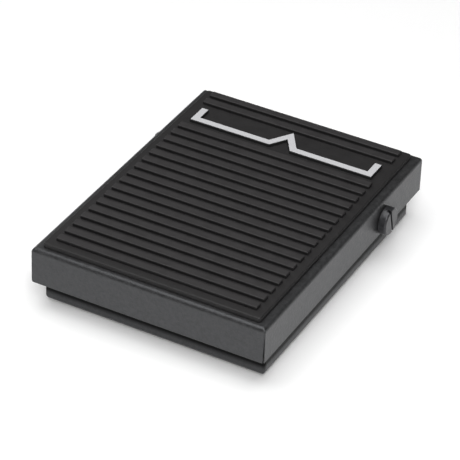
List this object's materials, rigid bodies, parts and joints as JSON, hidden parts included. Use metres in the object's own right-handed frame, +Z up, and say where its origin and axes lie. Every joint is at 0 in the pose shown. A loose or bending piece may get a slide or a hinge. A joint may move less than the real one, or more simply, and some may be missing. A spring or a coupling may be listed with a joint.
{
  "type": "sustain pedal",
  "caption": "Box-type sustain foot pedal: ribbed rubber tread on a folded steel treadle that rocks on two side pivots over a steel tray with spring, switch and cable.",
  "frame": {"origin": "on the floor, under the middle of the treadle cover", "axes": "+X to the right, +Y to the rear where the cable leaves, +Z up; the foot presses the -Y end"},
  "size_m": [0.079, 0.1144, 0.0228],
  "materials": {
    "powder_coat": "fine-textured satin black powder coat",
    "tread_rubber": "matt black moulded rubber with a fine grain",
    "foot_rubber": "matt black anti-slip rubber",
    "black_screw": "satin black coated steel",
    "nylon": "natural nylon",
    "zinc_plate": "bright zinc plate",
    "spring_steel": "drawn spring wire",
    "felt": "dense grey wool felt",
    "switch_plastic": "black moulded switch case",
    "plunger_plastic": "red moulded plunger",
    "tinned_brass": "tinned terminal",
    "cable_jacket": "satin black PVC",
    "red_insulation": "red wire insulation",
    "black_insulation": "black wire insulation"
  },
  "bodies": {
    "base": {"base_tray": "powder_coat", "base_mat": "foot_rubber", "pivot_screw_left": "black_screw", "pivot_screw_right": "black_screw", "pivot_washer_left": "zinc_plate", "pivot_washer_right": "zinc_plate", "pivot_nut_left": "zinc_plate", "pivot_nut_right": "zinc_plate", "spring_cup": "nylon", "return_spring": "spring_steel", "down_stop_left": "foot_rubber", "down_stop_right": "foot_rubber", "rear_stop_felt": "felt", "switch_case": "switch_plastic", "switch_terminal_common": "tinned_brass", "switch_terminal_closed": "tinned_brass", "switch_terminal_open": "tinned_brass", "switch_bracket": "zinc_plate", "bracket_screw_front": "zinc_plate", "bracket_screw_rear": "zinc_plate", "switch_screw_front": "zinc_plate", "switch_screw_rear": "zinc_plate", "switch_nut_front": "zinc_plate", "switch_nut_rear": "zinc_plate", "cable": "cable_jacket", "cable_grommet": "cable_jacket", "cable_clamp": "zinc_plate", "clamp_screw": "zinc_plate", "lead_wire_red": "red_insulation", "lead_wire_black": "black_insulation"},
    "treadle": {"treadle_cover": "powder_coat", "tread_mat": "tread_rubber", "pivot_bush_left": "nylon", "pivot_bush_right": "nylon", "spring_seat": "nylon", "striker_button": "nylon"},
    "lever": {"switch_lever": "zinc_plate"},
    "plunger": {"switch_plunger": "plunger_plastic"}
  },
  "joints": [
    {"name": "treadle_hinge", "type": "hinge", "parent": "base", "child": "treadle", "pos_m": [0, 0.024, 0.0132], "axis": [1, 0, 0], "range_deg": [0, 4], "stiffness_Nm_per_rad": 3, "deforming": ["return_spring"]},
    {"name": "lever_hinge", "type": "hinge", "parent": "base", "child": "lever", "pos_m": [-0.012, -0.0066, 0.01375], "axis": [1, 0, 0], "range_deg": [0, 13.2]},
    {"name": "plunger_slide", "type": "slide", "parent": "base", "child": "plunger", "axis": [0, 0, -1], "range_m": [0, 0.00093]}
  ],
  "couplings": [
    {"joint": "lever_hinge", "follows": "treadle_hinge", "ratio": 3.2836},
    {"joint": "plunger_slide", "follows": "treadle_hinge", "m_per_rad": 0.013134}
  ]
}
